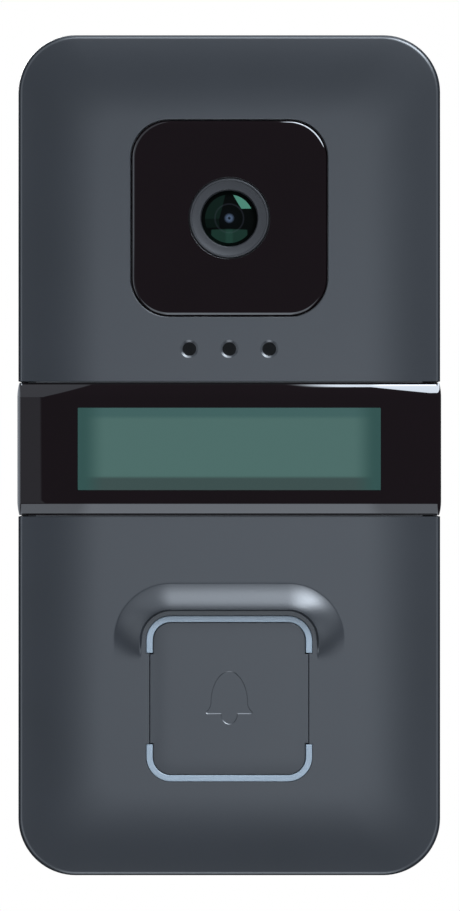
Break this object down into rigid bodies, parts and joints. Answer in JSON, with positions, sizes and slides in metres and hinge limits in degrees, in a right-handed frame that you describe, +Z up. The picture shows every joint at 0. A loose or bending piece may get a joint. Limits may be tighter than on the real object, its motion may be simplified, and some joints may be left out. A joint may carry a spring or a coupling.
{
  "type": "video doorbell",
  "caption": "Wall-mounted video doorbell with camera window, backlit name plate band and square call button between two light guides.",
  "frame": {"origin": "centre of the wall plate's back face, which lies on the wall", "axes": "+Z up, +X to the right as seen from the front, +Y into the wall; the front faces -Y"},
  "size_m": [0.0744, 0.0299, 0.1474],
  "materials": {
    "shell_anthracite": "satin, fine moulded grain",
    "housing_black": "matt, moulded",
    "gloss_black": "high gloss",
    "clear_pane": "clear, polished",
    "name_card": "satin, translucent",
    "milky_plastic": "frosted, translucent",
    "white_plastic": "matt",
    "bezel_black": "satin, blackened",
    "lens_glass": "polished, green coating",
    "barrel_metal": "black anodised",
    "stainless_steel": "plain",
    "zinc_plate": "fine powder coat",
    "rubber_black": "matt",
    "circuit_board": "solder mask",
    "chip_black": "epoxy",
    "tin_shield": "tinned",
    "mesh_black": "fine woven",
    "terminal_green": "satin",
    "tape_black": "matt",
    "polyimide_amber": "satin",
    "speaker_paper": "satin film"
  },
  "bodies": {
    "housing": {"backlight_leds": "white_plastic", "backlight_reflector": "white_plastic", "board_screws": "stainless_steel", "bracket_screws": "stainless_steel", "bridge_rectifier": "chip_black", "button_frame": "housing_black", "button_leds": "white_plastic", "button_seal": "rubber_black", "camera_board": "circuit_board", "camera_bracket": "housing_black", "camera_ribbon": "polyimide_amber", "camera_screws": "stainless_steel", "camera_window": "gloss_black", "capacitor": "chip_black", "frame_screws": "stainless_steel", "front_lens": "lens_glass", "front_shell": "shell_anthracite", "housing_gasket": "rubber_black", "housing_screw_1": "stainless_steel", "housing_screw_2": "stainless_steel", "housing_screw_3": "stainless_steel", "housing_screw_4": "stainless_steel", "image_sensor": "chip_black", "inner_lenses": "lens_glass", "ir_filter": "lens_glass", "ir_led_board": "circuit_board", "ir_leds": "clear_pane", "lens_barrel": "barrel_metal", "lens_bezel": "bezel_black", "lens_holder": "housing_black", "lens_light_seal": "rubber_black", "light_guide_bottom": "milky_plastic", "light_guide_top": "milky_plastic", "light_sensor": "chip_black", "main_board": "circuit_board", "microphone": "tin_shield", "microphone_boot": "rubber_black", "name_diffuser": "milky_plastic", "power_coil": "chip_black", "processor_chip": "chip_black", "rear_housing": "housing_black", "rf_shield": "tin_shield", "security_screw": "stainless_steel", "speaker_cone": "speaker_paper", "speaker_contacts": "tin_shield", "speaker_frame": "housing_black", "speaker_gasket": "rubber_black", "speaker_magnet": "stainless_steel", "speaker_mesh": "mesh_black", "tact_switch": "chip_black", "terminal_block": "terminal_green", "terminal_screws": "stainless_steel", "wall_plate": "zinc_plate", "wifi_antenna": "tin_shield", "window_adhesive": "tape_black"},
    "name_cover": {"name_cover": "gloss_black", "name_window": "clear_pane", "name_insert": "name_card"},
    "button": {"button_cap": "shell_anthracite"},
    "plunger": {"switch_plunger": "white_plastic"}
  },
  "joints": [
    {"name": "button_press", "type": "slide", "parent": "housing", "child": "button", "axis": [0, 1, 0], "range_m": [0, 0.0004], "stiffness_N_per_m": 2500, "springref_m": -0.0004},
    {"name": "plunger_press", "type": "slide", "parent": "housing", "child": "plunger", "axis": [0, 1, 0], "range_m": [0, 0.0004]},
    {"name": "cover_pull", "type": "slide", "parent": "housing", "child": "name_cover", "axis": [0, -1, 0], "range_m": [0, 0.012]}
  ],
  "couplings": [
    {"joint": "plunger_press", "follows": "button_press", "ratio": 1}
  ]
}
